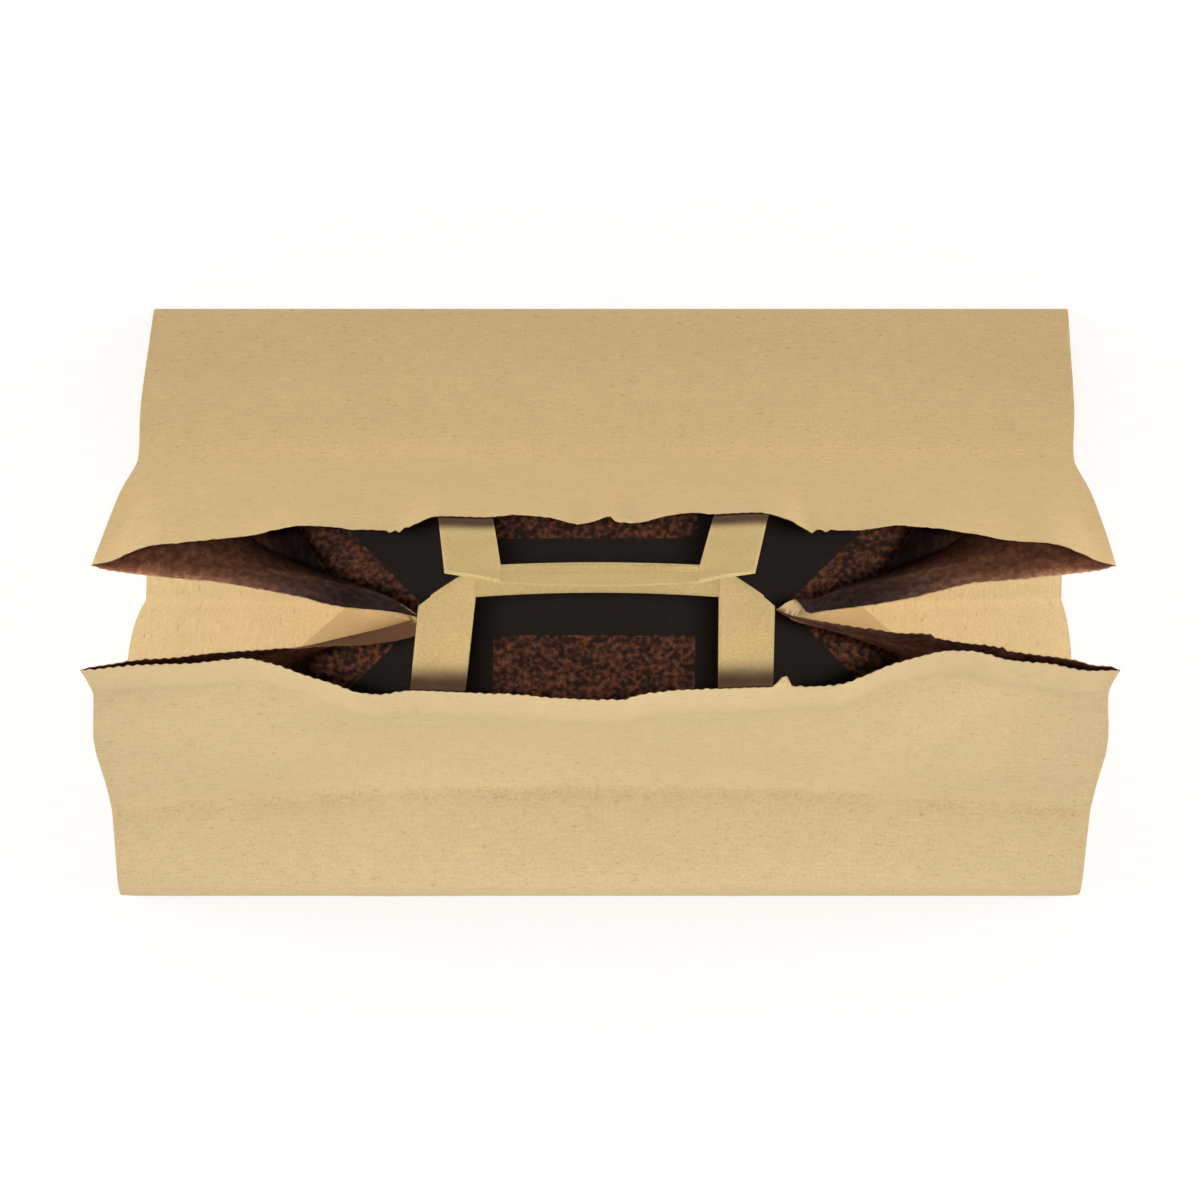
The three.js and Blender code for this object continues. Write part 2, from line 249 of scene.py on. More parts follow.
# Handles and patches
TAPE_WIDTH = 17
TAPE_THICKNESS = 0.5
FRONT_LEG_GLUED = 48
BACK_LEG_GLUED = 22
FRONT_RISE = 63
BACK_RISE = 90
STEEP_START = 5
HANDLE_SPREADS = (4, 4)
POINT_WIDTH = 0.01
PATCH_LENGTH = 140
PATCH_HEIGHT = 42
PATCH_DROP = 10
GLUE_GAP = 0.3

# Middles of the left and right leg of each handle, at the mouth and at the crossbar
FRONT_LEGS = ((-51, -47.3), (44, 43))
BACK_LEGS = ((-43.6, -39.1), (42, 36.3))

# Leans of each handle next to the mouth, along its legs and across its crossbar, the drop of its outer
# corners, and the inward bow of its crossbar at the lower and upper edge
FRONT_HANDLE_LEANS = (2, 33.2, 22.6)
BACK_HANDLE_LEANS = (17, 21.9, 16.2)
FRONT_CORNER_DROP = 4.2
BACK_CORNER_DROP = 0
FRONT_BOW = (1.3, 1.1)
BACK_BOW = (0.2, 1.5)
BOW_HALF_LENGTH = 36

# Painted light of the tapes, and the heights above the mouth between which a leg's painted shade fades
FRONT_TAPE_PAINTED_LIGHT = 0.89
BACK_TAPE_PAINTED_LIGHT = 1.06
FRONT_LEG_PAINTED_SHADE = (5, 21)
BACK_LEG_PAINTED_SHADE = (6, 25)

# Floor of the studio: its size and level in metres, its own brightness by the bag, which makes it show
# as white, its grey for the light that falls on it, and the distances over which its brightness rises
# to plain white
FLOOR_HALF_SIZE = 6
FLOOR_LEVEL = -0.0003
FLOOR_GLOW = 0.68
FLOOR_GREY = 0.37
FLOOR_GRAIN = 0.01
GLOW_REACH = (0.6, 2.2)

# Light of the surroundings, low lamps with their places in metres and powers, and the strip over the mouth
SURROUNDING_LIGHT = 0.6
LAMP_SIZE = 1.0
LAMPS = (
    ("front", (0, -1.9, 0.4), 17),
    ("back", (0, 1.9, 0.35), 12),
    ("left_side", (-1.85, -0.05, 0.5), 18.5),
    ("right_side", (1.85, -0.05, 0.5), 18.5))
STRIP_PLACE = (0, -0.285, 2.03)
STRIP_SIZE = (0.34, 0.04)
STRIP_POWER = 0.026
STRIP_SPREAD = 5

# Camera: its place in metres, and its lens and sensor in millimetres
CAMERA_PLACE = (0, -0.2516, 1.790)
CAMERA_LENS = 156
CAMERA_SENSOR = 36

# Grid of the sheet: rows between its folds, and columns at half the pitch of the cut edge
ROWS_BETWEEN_FOLDS = (12, 11, 12, 10)
PANEL_COLUMNS = 2 * round(BAG_WIDTH / PINK_PITCH)
GUSSET_COLUMNS = 2 * round(BASE_DEPTH / 2 / PINK_PITCH)
FACET_COLUMNS = 30
PROFILE_STEP = 0.25
PROFILE_SPARE = 20
SLOPE_STEP = 0.5
WELD_DISTANCE = 2e-6
SHARP_ANGLE = 30

# Points along the other grids: the bottom's side edges, the tapes and the patches
BOTTOM_EDGE_POINTS = 13
TAPE_POINTS_ACROSS = 13
LEG_POINTS = (60, 20)
BAR_END_POINTS = 12
BAR_POINTS = 40
PATCH_POINTS = (71, 21)

half_width = BAG_WIDTH / 2
half_depth = BASE_DEPTH / 2
random = np.random.default_rng(11)


def ease(t):
    t = np.clip(t, 0, 1)
    return t * t * (3 - 2 * t)


def lerp(start, end, share):
    return start + (end - start) * share


def bell(distance, spread):
    return np.exp(-(distance / spread) ** 2)


def curve_through(stations, place):
    """A smooth curve through (place, value) stations, which doesn't swing past them."""
    places, values = np.array(stations, float).T
    rises = np.diff(values) / np.diff(places)
    before, after = np.append(rises[0], rises), np.append(rises, rises[-1])
    turning = before * after <= 0
    slopes = np.where(turning, 0, 2 * before * after / np.where(turning, 1, before + after))
    index = np.clip(np.searchsorted(places, place) - 1, 0, len(places) - 2)
    width = places[index + 1] - places[index]
    t = (place - places[index]) / width
    return (values[index] * (1 + 2 * t) * (1 - t) ** 2 + values[index + 1] * t * t * (3 - 2 * t)
            + slopes[index] * width * t * (1 - t) ** 2 - slopes[index + 1] * width * t * t * (1 - t))


def rumple(u, v, cell):
    """Smooth noise from -1 to 1 over paper places, with features about one cell across."""
    u, v = np.broadcast_arrays(np.asarray(u, float) / cell, np.asarray(v, float) / cell)
    u, v = u - u.min(), v - v.min()
    column, row = u.astype(int), v.astype(int)
    lattice = random.uniform(-1, 1, (row.max() + 2, column.max() + 2))
    s, t = ease(u - column), ease(v - row)
    low = lerp(lattice[row, column], lattice[row, column + 1], s)
    high = lerp(lattice[row + 1, column], lattice[row + 1, column + 1], s)
    return lerp(low, high, t)


def bent_profile(leans, folds, spreads, start):
    """The path of paper that bends at folds: a function from paper height to (y, z)."""
    ends = np.arange(0, SHEET_HEIGHT + PROFILE_SPARE, PROFILE_STEP)
    middles = ends[:-1] + PROFILE_STEP / 2
    lean = np.full(len(middles), leans[0], float)
    for fold, spread, before, after in zip(folds, spreads, leans, leans[1:]):
        lean += (after - before) * ease((middles - fold + spread) / (2 * spread))
    lean = np.radians(lean)
    y = start[0] + np.concatenate([[0], np.cumsum(np.sin(lean))]) * PROFILE_STEP
    z = start[1] + np.concatenate([[0], np.cumsum(np.cos(lean))]) * PROFILE_STEP
    return lambda height: (np.interp(height, ends, y), np.interp(height, ends, z))


class Panel:
    """The front or back panel. Its profiles measure y inwards, from the panel's own side of the base."""

    def __init__(self, facing, corner_lean, middle_lean, spreads, sag, mouth, corner_bulge):
        self.facing = facing
        self.sag = sag
        self.corner_bulge = corner_bulge
        self.corner = bent_profile(corner_lean, FOLD_HEIGHTS, spreads, (-half_depth, 0))
        self.middle = bent_profile(middle_lean, FOLD_HEIGHTS, spreads, (-half_depth, 0))
        self.mouth = mouth
        self.mouth_sag = self.middle(SHEET_HEIGHT)[0] - self.corner(SHEET_HEIGHT)[0]

    def points(self, x, height):
        """An even sag up to the crease, which turns into the mouth's wave between there and the band."""
        x, height = np.broadcast_arrays(np.asarray(x, float), np.asarray(height, float))
        corner_y, corner_z = self.corner(height)
        middle_y, middle_z = self.middle(height)
        sag = self.sag * (1 - np.abs(x / half_width) ** SAG_POWER)
        wave = self.facing * curve_through(self.mouth, x) / self.mouth_sag
        level = ease((LEVEL_OUTER - np.abs(x)) / (LEVEL_OUTER - LEVEL_INNER))
        share = np.clip((height - CREASE_HEIGHT) / (BAND_HEIGHT - CREASE_HEIGHT), 0, 1)
        y = lerp(corner_y, middle_y, lerp(sag, wave, share))
        z = lerp(corner_z, middle_z, lerp(sag, level, share))
        bulge, middle, spread = self.corner_bulge
        outwards = bulge * bell(height - middle, spread) * np.sign(x)
        outwards = outwards * np.abs(x / half_width) ** BULGE_POWER
        return np.stack([x + outwards, self.facing * y, z], -1)


front = Panel(
    1, FRONT_CORNER_LEAN, FRONT_MIDDLE_LEAN, FRONT_SPREADS, FRONT_SAG, FRONT_MOUTH, FRONT_CORNER_BULGE)
back = Panel(
    -1, BACK_CORNER_LEAN, BACK_MIDDLE_LEAN, BACK_SPREADS, BACK_SAG, BACK_MOUTH, BACK_CORNER_BULGE)

# Fold points of a right-hand gusset. Its tip lies about half a gusset's paper from the mouth's corners.
facet_tilt = math.radians(GUSSET_FACET_TILT)
gusset_apex = np.array(
    [half_width - half_depth * math.cos(facet_tilt), GUSSET_APEX_Y, half_depth * math.sin(facet_tilt)])
mouth_corners = [panel.points(half_width, SHEET_HEIGHT) for panel in (front, back)]
half_gap = np.linalg.norm(mouth_corners[0] - mouth_corners[1]) / 2
gusset_tip = (mouth_corners[0] + mouth_corners[1]) / 2
gusset_tip -= [math.sqrt(half_depth ** 2 - half_gap ** 2), 0, GUSSET_TIP_DROP]


def row_heights():
    """Paper heights of the grid's rows, closer together next to the folds."""
    heights = [0.0]
    for top, count in zip((*FOLD_HEIGHTS, SHEET_HEIGHT), ROWS_BETWEEN_FOLDS):
        bottom = heights[-1]
        shares = [(1 - math.cos(math.pi * step / count)) / 2 for step in range(1, count + 1)]
        heights += [lerp(bottom, top, share) for share in shares]
    return np.array(heights)


def with_cut_edge(heights, columns):
    """The heights of a grid, with the teeth of the cut edge along its last row."""
    grid = np.repeat(heights[:, None], columns, 1)
    grid[-1] += np.where(np.arange(columns) % 2 == 0, PINK_DEPTH, -PINK_DEPTH)
    return grid


def frayed(points, x, height, tears, legs):
    """Points with the cut edge's small unevenness and torn places, held flat by the handle's legs."""
    loose = np.clip((height - SHEET_HEIGHT + FRAY_HEIGHT) / FRAY_HEIGHT, 0, None)
    column = np.arange(points.shape[1])
    fray = FRAY * random.normal(size=len(column)) + BROAD_FRAY * rumple(column, 0, BROAD_COLUMNS)
    curled = (fray + np.where(column % 2 == 0, TOOTH_CURL, -TOOTH_CURL)) * loose
    for foot, _ in legs:
        held = ease((LEG_HOLD - np.abs(x - foot)) / LEG_HOLD_CHANGE)
        curled = curled * (1 - LEG_HOLD_SHARE * held)
    points[..., 1] += curled
    for start, end, shift in tears:
        torn = np.sqrt(np.clip((x - start) / (end - start), 0, 1)) * (x <= end + TEAR_END)
        points[..., 1] += shift * torn * ease(loose)
        points[..., 2] += TEAR_LIFT * abs(shift) * torn * ease(loose)
    return points


def fold_wear(height, fold, spread):
    """How worn the paper is just below a fold across the panel, from 0 to 1."""
    return bell(height - fold + WEAR_BELOW_FOLD * spread, spread)


def thinned(height, from_corner):
    """Share of the paper's thickness: none on the base edge, and little in the sharp corner folds."""
    return ease(height / THICK_FROM_BASE) * lerp(CORNER_THICKNESS, 1, ease(from_corner / THICK_FROM_CORNER))


def rumpled(points, u, v, mask):
    """Points moved square to the paper by its soft unevenness."""
    normals = np.cross(np.gradient(points, axis=1), np.gradient(points, axis=0))
    normals /= np.maximum(np.linalg.norm(normals, axis=-1, keepdims=True), 1e-9)
    bumps = sum(height * rumple(u, v, cell) for height, cell in RUMPLES)
    return points + normals * (bumps * mask)[..., None]


class Grid:
    """Points wound to face outwards, with their places on the flat paper and the paper's values there."""

    def __init__(self, points, u, v, wear_and_painted_shade=0.0, thickness=1.0, tone=1.0, paleness=0.0, inside=1.0, painted_shade=0.0):
        self.points = points
        self.places = np.stack(np.broadcast_arrays(u, v), -1)
        values = {"wear_and_painted_shade": wear_and_painted_shade, "thickness": thickness, "tone": tone, "paleness": paleness,
                  "inside": inside, "painted_shade": painted_shade}
        self.values = {name: np.broadcast_to(value, points.shape[:2]) for name, value in values.items()}

    def turned(self, points, u):
        """The grid with its columns in the other order, at other points and paper places."""
        grid = Grid(points[:, ::-1], u[:, ::-1], self.places[:, ::-1, 1])
        grid.values = {name: value[:, ::-1] for name, value in self.values.items()}
        return grid


def panel_grid(panel, start_u):
    """The grid of a panel, with its cut edge, its unevenness, and its wear and tones."""
    heights = with_cut_edge(row_heights(), PANEL_COLUMNS + 1)
    x = panel.facing * np.linspace(-half_width, half_width, PANEL_COLUMNS + 1)
    tears, legs = (FRONT_TEARS, FRONT_LEGS) if panel is front else (BACK_TEARS, BACK_LEGS)
    points = frayed(panel.points(x, heights), x, heights, tears, legs)
    u = start_u + half_width + panel.facing * x + 0 * heights
    from_corner = half_width - np.abs(x)
    calm_start, calm_length, calm_share = PANEL_CALM
    calm = lerp(1, calm_share, ease((heights - calm_start) / calm_length))
    mask = ease(from_corner / RUMPLE_FROM_CORNER) * ease(heights / RUMPLE_FROM_BASE) * calm
    fold_wears = FRONT_FOLD_WEAR if panel is front else BACK_FOLD_WEAR
    wears = [fold_wear(heights, fold, spread) * most for fold, spread, most in zip(
        (CREASE_HEIGHT, BAND_HEIGHT), FOLD_WEAR_SPREADS, fold_wears)]
    wear_and_painted_shade = np.max([*wears, CORNER_WEAR * bell(from_corner, CORNER_WEAR_SPREAD) + 0 * heights], 0)
    # Painted light and shade by height, with a painted shade line just below the crease
    tone = curve_through(FRONT_PAINTED_LIGHT if panel is front else BACK_PAINTED_LIGHT, heights)
    if panel is front:
        reach, start, share = PATCH_SHOWING
        showing = ease(reach + PATCH_EDGE - np.abs(x)) * ease(heights - start)
        # Lighter where the patch shows through, and painted shade towards the sides
        tone = tone * (1 + share * showing) * (1 - FRONT_SIDE_SHADE * (x / half_width) ** 2)
    return Grid(rumpled(points, u, heights, mask), u, heights, wear_and_painted_shade, thinned(heights, from_corner), tone,
                FRONT_PALENESS if panel is front else BACK_PALENESS)


def half_shade(panel, s, heights):
    """Painted shade and light inside a gusset half, by the share of the way from its corner to its tip."""
    if panel is front:
        shade = lerp(*FRONT_HALF_SHADES, ease(s / FRONT_SHADE_END))
    else:
        shade = lerp(*BACK_HALF_SHADES, ease(s / BACK_SHADE_END))
    deep = lerp(DEEP_SHADE, 1, ease((heights - DEEP_HEIGHT) / DEEP_CHANGE))
    return np.minimum(shade * deep, BACK_HALF_SHADES[0])


def gusset_half(panel, start_u, mouth, tip_reach):
    """One half of a right-hand gusset, from the panel's corner fold to its slanting and centre folds."""
    heights = with_cut_edge(row_heights(), GUSSET_COLUMNS + 1)
    s = np.linspace(0, 1, GUSSET_COLUMNS + 1)[None, :]
    across = s[..., None]
    corner = panel.points(half_width, heights)
    base, low, middle, top = (
        panel.points(half_width, h) for h in (0, CREASE_HEIGHT, BAND_HEIGHT, SHEET_HEIGHT))
    slant = lerp(base, gusset_apex, (heights / half_depth)[..., None])
    below = lerp(corner, slant, across)
    crease_line, band_line, mouth_line = (
        lerp(start, end, across)
        for start, end in ((low, gusset_apex), (middle, gusset_tip), (top, gusset_tip)))
    r = ((heights - CREASE_HEIGHT) / (BAND_HEIGHT - CREASE_HEIGHT))[..., None]
    between = lerp(crease_line, band_line, r) + (1 - across) * (corner - lerp(low, middle, r))
    r = ((heights - BAND_HEIGHT) / (SHEET_HEIGHT - BAND_HEIGHT))[..., None]
    above = lerp(band_line, mouth_line, r) + (1 - across) * (corner - lerp(middle, top, r))
    level = heights[..., None]
    points = np.where(level <= CREASE_HEIGHT, below, np.where(level <= BAND_HEIGHT, between, above))
    swing = np.clip((heights - BAND_HEIGHT) / (SHEET_HEIGHT - BAND_HEIGHT), 0, None)
    points[..., 1] += curve_through(mouth, s) * swing
    reach_start, reach_length = TIP_REACH_SPAN
    points[..., 0] -= tip_reach * ease((s - reach_start) / reach_length) * swing
    puff, puff_top = (-FRONT_HALF_PUFF, BAND_HEIGHT) if panel is front else (BACK_HALF_PUFF, SHEET_HEIGHT)
    rise = np.clip((heights - CREASE_HEIGHT) / (puff_top - CREASE_HEIGHT), 0, 1)
    points[..., 1] += puff * np.sin(np.pi * rise) * s ** 2 * np.sqrt(1 - s ** PUFF_POWER)
    from_tip = ease((1 - s) / HALF_EDGE_SHARE)
    inner = ease(s / HALF_EDGE_SHARE) * from_tip
    points = lerp(points, frayed(points.copy(), s, heights, (), ()), inner[..., None])
    u = start_u + s * np.minimum(heights, half_depth)
    rumple_start, rumple_length = HALF_RUMPLE_FROM_CORNER
    mask = (HALF_RUMPLE * ease((s - rumple_start) / rumple_length) * from_tip
            * ease(heights / HALF_RUMPLE_FROM_BASE))
    wear_and_painted_shade = CORNER_WEAR * bell((1 - s) * half_depth, CORNER_WEAR_SPREAD) + 0 * heights
    # Painted shade over the tip of the front half, darker and warmer
    shade_start, shade_length = PAINTED_SHADE_START
    shaded_tip = ease((s - shade_start) / shade_length) * (panel is front)
    shaded_tip = shaded_tip * ease((heights - BAND_HEIGHT + PAINTED_SHADE_BELOW_BAND) / PAINTED_SHADE_BELOW_BAND)
    return Grid(rumpled(points, u, heights, mask), u, heights, wear_and_painted_shade, thinned(heights, s * half_depth),
                lerp(1, TIP_PAINTED_SHADE, shaded_tip), inside=half_shade(panel, s, heights), painted_shade=shaded_tip)


def side_edge(panel, w, side):
    """The right-hand base edge from a panel's corner to the gusset's foot, bulging along its front half."""
    dent, bulge = side
    foot = np.array([half_width - dent, 0, 0])
    edge = lerp(panel.points(half_width, 0), foot, np.asarray(w)[..., None])
    if panel is front:
        edge[..., 0] += bulge * (1 - np.exp((w - 1) / BULGE_END)) * ease(w / BULGE_START)
    return edge


def gusset_facet(start_u, side):
    """A right-hand gusset's triangle over the base edge, from its front slanting fold to its back one."""
    heights = row_heights()
    heights = heights[heights <= CREASE_HEIGHT + 1e-6][:, None]
    w = np.linspace(0, 1, FACET_COLUMNS + 1)[None, :]
    share = (heights / half_depth)[..., None]
    halves = [lerp(side_edge(panel, w, side), gusset_apex, share) for panel in (front, back)]
    points = np.concatenate([halves[0], halves[1][:, -2::-1]], 1)
    along = np.concatenate([w, 2 - w[:, -2::-1]], 1)
    from_apex = half_depth - heights
    beside = (along - 1) * from_apex
    u = start_u + heights + along * from_apex
    mask = (FACET_RUMPLE * ease(along * (2 - along)) * ease(heights / FACET_RUMPLE_FROM_FOLD)
            * ease(from_apex / FACET_RUMPLE_FROM_FOLD))
    wear_and_painted_shade = CENTRE_WEAR * bell(beside, CENTRE_SPREAD)
    ridge = CENTRE_RIDGE * bell(beside, RIDGE_SPREAD) * ease(heights / RIDGE_FROM_BASE)
    ridge = ridge * ease(from_apex / RIDGE_FROM_APEX)
    points = rumpled(points, u, heights, mask) + [0, 0, 1] * ridge[..., None]
    shade, shade_place, shade_spread = CENTRE_SHADE
    # Painted highlight along the centre fold, and painted shade beside it
    tone = 1 + CENTRE_LIGHT * bell(beside, CENTRE_SPREAD) - shade * bell(beside - shade_place, shade_spread)
    return Grid(points, u, heights + 0 * u, wear_and_painted_shade, ease(heights / THICK_FROM_BASE), tone)


def mirrored(grid):
    """The grid on the left-hand side, still wound to face outwards."""
    return grid.turned(grid.points * [-1, 1, 1], 2 * BAG_WIDTH + 2 * BASE_DEPTH - grid.places[..., 0])


def reversed_grid(grid):
    """The grid of the gusset's other half, with its own paper places."""
    return grid.turned(grid.points, 2 * BAG_WIDTH + BASE_DEPTH - grid.places[..., 0])


def skewed(points):
    """Points of the bag as it stands, askew and drawn in at its upper corners."""
    x, y, z = np.moveaxis(points, -1, 0)
    behind = ease((y - PULL_FRONT_Y) / (PULL_BACK_Y - PULL_FRONT_Y))
    at_back = behind * curve_through(BACK_PULL, z)
    at_right = (1 - behind) * curve_through(FRONT_PULL, z) + at_back
    pull = np.where(x > 0, at_right, LEFT_PULL_SHARE * at_back)
    drawn_in = np.sign(x) * pull * np.abs(x / half_width) ** PULL_POWER
    return np.stack([x - drawn_in + SKEW * (y + half_depth), y, z], -1)


def set_values(mesh, name, values):
    """Gives the mesh an attribute with a value for each of its points."""
    mesh.attributes.new(name, "FLOAT", "POINT").data.foreach_set("value", values.astype(np.float32))


def mesh_from(name, grids, weld=True):
    """One mesh of several grids, with its UV map in metres of flat paper and the values as attributes."""
    faces, start = [], 0
    for grid in grids:
        rows, columns = grid.points.shape[:2]
        index = start + np.arange(rows * columns).reshape(rows, columns)
        corners = [index[:-1, :-1], index[:-1, 1:], index[1:, 1:], index[1:, :-1]]
        faces.append(np.stack(corners, -1).reshape(-1, 4))
        start += rows * columns
    faces = np.concatenate(faces)
    points = np.concatenate([grid.points.reshape(-1, 3) for grid in grids])
    places = np.concatenate([grid.places.reshape(-1, 2) for grid in grids])
    mesh = bpy.data.meshes.new(name)
    mesh.from_pydata((skewed(points) * MM).tolist(), [], faces.tolist())
    mesh.uv_layers.new(name="paper").data.foreach_set("uv", (places[faces.ravel()] * MM).ravel())
    for attribute in grids[0].values:
        set_values(mesh, attribute, np.concatenate([grid.values[attribute].ravel() for grid in grids]))
    if weld:
        joined = bmesh.new()
        joined.from_mesh(mesh)
        bmesh.ops.remove_doubles(joined, verts=joined.verts, dist=WELD_DISTANCE)
        joined.to_mesh(mesh)
        joined.free()
    mesh.polygons.foreach_set("use_smooth", np.ones(len(mesh.polygons), bool))
    mesh.set_sharp_from_angle(angle=math.radians(SHARP_ANGLE))
    return mesh


def place_piece(mesh, materials, thickness=None, replaces=None):
    """The mesh as a piece of the bag, made a solid sheet where it has a thickness."""
    piece = bpy.data.objects.new(mesh.name, mesh)
    bpy.context.scene.collection.objects.link(piece)
    for material in materials:
        mesh.materials.append(material)
    if thickness:
        shell = piece.modifiers.new("paper", "SOLIDIFY")
        shell.thickness = thickness * MM
        shell.offset = -1
        shell.material_offset = 1
        shell.material_offset_rim = 2
        group = piece.vertex_groups.new(name="thickness")
        for vertex, share in enumerate(mesh.attributes["thickness"].data):
            group.add([vertex], share.value, "REPLACE")
        shell.vertex_group = group.name
    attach(piece, "root")
    if replaces:
        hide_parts(replaces)
    return piece


class Nodes:
    """Short forms for building a material's node tree."""

    def __init__(self, name):
        self.material = bpy.data.materials.new(name)
        self.material.use_nodes = True
        self.tree = self.material.node_tree
        self.tree.nodes.clear()

    def add(self, kind, inputs=None, **settings):
        node = self.tree.nodes.new("ShaderNode" + kind)
        for name, value in settings.items():
            setattr(node, name, value)
        for name, value in (inputs or {}).items():
            if isinstance(value, bpy.types.NodeSocket):
                self.tree.links.new(value, node.inputs[name])
            else:
                node.inputs[name].default_value = value
        return node

    def paper_places(self):
        return self.add("UVMap", uv_map="paper").outputs[0]

    def value_of(self, name):
        """One of the paper's values, which the mesh has as an attribute."""
        return self.add("Attribute", attribute_name=name).outputs["Fac"]

    def noise(self, places, scale, detail=3, roughness=0.5, offset=0):
        """Noise whose features are about 1/scale metres across."""
        moved = self.add("Mapping", {
            "Vector": places, "Location": (offset, offset, 0), "Scale": (*scale, 1)})
        noise = self.add("TexNoise", {
            "Vector": moved.outputs[0], "Scale": 1, "Detail": detail, "Roughness": roughness})
        return noise.outputs["Fac"]

    def remap(self, value, low, high, start=0, end=1):
        return self.add("MapRange", {
            "Value": value, "From Min": low, "From Max": high, "To Min": start, "To Max": end},
            interpolation_type="SMOOTHSTEP").outputs["Result"]

    def math(self, operation, a, b):
        return self.add("Math", {0: a, 1: b}, operation=operation).outputs[0]

    def mix(self, share, a, b, blend="MIX"):
        return self.add("Mix", {0: share, 6: a, 7: b}, data_type="RGBA", blend_type=blend).outputs[2]

    def tinted(self, colour, red, green, blue):
        tint = self.add("CombineColor", {"Red": red, "Green": green, "Blue": blue}).outputs[0]
        return self.mix(1, colour, tint, "MULTIPLY")

    def toned(self, colour):
        """The colour with the paper's tone and paleness, mostly painted light and shade, and its painted
        shade.
        """
        tone, pale, painted_shade = (self.value_of(name) for name in ("tone", "paleness", "painted_shade"))
        green, blue = (
            self.math("ADD", 1, self.math("SUBTRACT", self.math("MULTIPLY", pale, share),
                                          self.math("MULTIPLY", painted_shade, loss)))
            for share, loss in zip((PALENESS_GREEN, 1), PAINTED_SHADE_TINT))
        return self.tinted(self.mix(1, colour, tone, "MULTIPLY"), 1, green, blue)

    def bump(self, height, distance, strength):
        return self.add("Bump", {"Height": height, "Distance": distance, "Strength": strength}).outputs[0]

    def paper(self, colour, bump, roughness, gloss):
        shader = self.add("BsdfPrincipled", {
            "Base Color": colour, "Roughness": roughness, "Normal": bump, "Specular IOR Level": gloss})
        self.tree.links.new(shader.outputs[0], self.add("OutputMaterial").inputs[0])
        return self.material


def scaled(colour, factor):
    return (*(channel * factor for channel in colour[:3]), 1)


def kraft(name, base, speck):
    """Unbleached paper: clouded pulp, fine grain along the making direction, specks and worn folds, with
    painted light and shade.
    """
    n = Nodes(name)
    places = n.paper_places()
    clouds = n.noise(places, (14, 30), 4, 0.55)
    flocks = n.noise(places, (130, 110), 3, 0.6, 23)
    streaks = n.noise(places, (300, 520), 3, 0.55, 3)
    fibres = n.noise(places, (1050, 1400), 3, 0.65, 7)
    lines = n.noise(places, (150, 760), 3, 0.6, 31)
    specks = n.noise(places, (300, 560), 2, 0.5, 11)
    colour = n.mix(n.remap(clouds, 0.3, 0.7), scaled(base, 0.96), scaled(base, 1.04))
    # Each layer: its noise, the values between which it fades in, how strongly, and its tone
    layers = (
        (lines, 0.5, 0.75, 0.6, 1.2), (lines, 0.5, 0.27, 0.6, 0.8), (flocks, 0.3, 0.7, 0.5, 0.9),
        (streaks, 0.35, 0.7, 0.45, 0.86), (fibres, 0.35, 0.75, 0.5, 1.28), (fibres, 0.48, 0.25, 0.35, 0.76))
    for noise, low, high, strength, tone in layers:
        colour = n.mix(n.remap(noise, low, high, 0, strength), colour, scaled(base, tone))
    colour = n.mix(n.remap(specks, 0.6, 0.76, 0, 0.48), colour, speck)
    fine = n.remap(n.noise(places, (640, 820), 3, 0.65, 17), 0.48, 0.62, 0.12, 1)
    broad = n.remap(n.noise(places, (60, 60), 2, 0.5, 29), 0.35, 0.6, 0.3, 1)
    worn = n.math("MULTIPLY", n.value_of("wear_and_painted_shade"), n.math("MULTIPLY", fine, broad))
    colour = n.toned(n.mix(n.math("MULTIPLY", worn, 0.42), colour, speck))
    relief = n.math("ADD", streaks, n.math("MULTIPLY", fibres, 0.6))
    return n.paper(colour, n.bump(relief, 0.0002, 0.3), n.remap(fibres, 0.3, 0.7, 0.72, 0.9), 0.12)


def tape_paper(name, base, painted_leg_shade):
    """Folded tape: even, finely grained paper, with painted shade on its legs up to just above the mouth.
    """
    n = Nodes(name)
    places = n.paper_places()
    clouds = n.noise(places, (60, 60), 3, 0.5)
    grain = n.noise(places, (900, 900), 4, 0.65, 3)
    specks = n.noise(places, (750, 750), 2, 0.5, 11)
    colour = n.mix(n.remap(clouds, 0.3, 0.7), scaled(base, 0.95), scaled(base, 1.05))
    colour = n.mix(n.remap(grain, 0.3, 0.7, 0, 0.6), colour, scaled(base, 0.68))
    colour = n.mix(n.remap(specks, 0.66, 0.78, 0, 0.5), colour, scaled(base, 0.5))
    uneven = n.math("MULTIPLY", n.math("SUBTRACT", clouds, 0.5), 0.3)
    # Painted shade on the legs, made a little uneven
    shaded_leg = n.math("ADD", n.value_of("wear_and_painted_shade"), uneven)
    colour = n.toned(n.mix(n.remap(shaded_leg, 0.02, 1), colour, painted_leg_shade))
    return n.paper(colour, n.bump(grain, 0.0002, 0.35), n.remap(grain, 0.3, 0.7, 0.72, 0.9), 0.06)


def mottled(name, dark, light, low, high, flock=(500, 530)):
    """Dark paper with lighter flocks in its uneven pulp, of about 1/flock metres: painted shade and light.
    """
    n = Nodes(name)
    places = n.paper_places()
    clusters = n.noise(places, (flock[0] / 4.5, flock[1] / 4.5), 2, 0.5, 3)
    flocks = n.noise(places, flock, 2, 0.5)
    fibres = n.noise(places, (flock[0] * 2.6, flock[1] * 3), 3, 0.6, 5)
    pulp = n.math("ADD", n.math("MULTIPLY", clusters, 0.32), n.math("MULTIPLY", flocks, 0.68))
    share = n.math("MULTIPLY", n.remap(pulp, low, high), n.remap(fibres, 0.25, 0.65, 0.35, 1))
    # The inside value paints shade and light inside the gusset halves
    shade = n.value_of("inside")
    dimmed = n.math("MINIMUM", shade, 1)
    green, blue = (n.math("MULTIPLY", shade, n.math("POWER", dimmed, power)) for power in SHADE_POWERS)
    colour = n.tinted(n.mix(share, dark, light), shade, green, blue)
    return n.paper(colour, n.bump(fibres, 0.0003, 0.3), n.remap(fibres, 0.3, 0.7, 0.75, 0.9), 0.03)
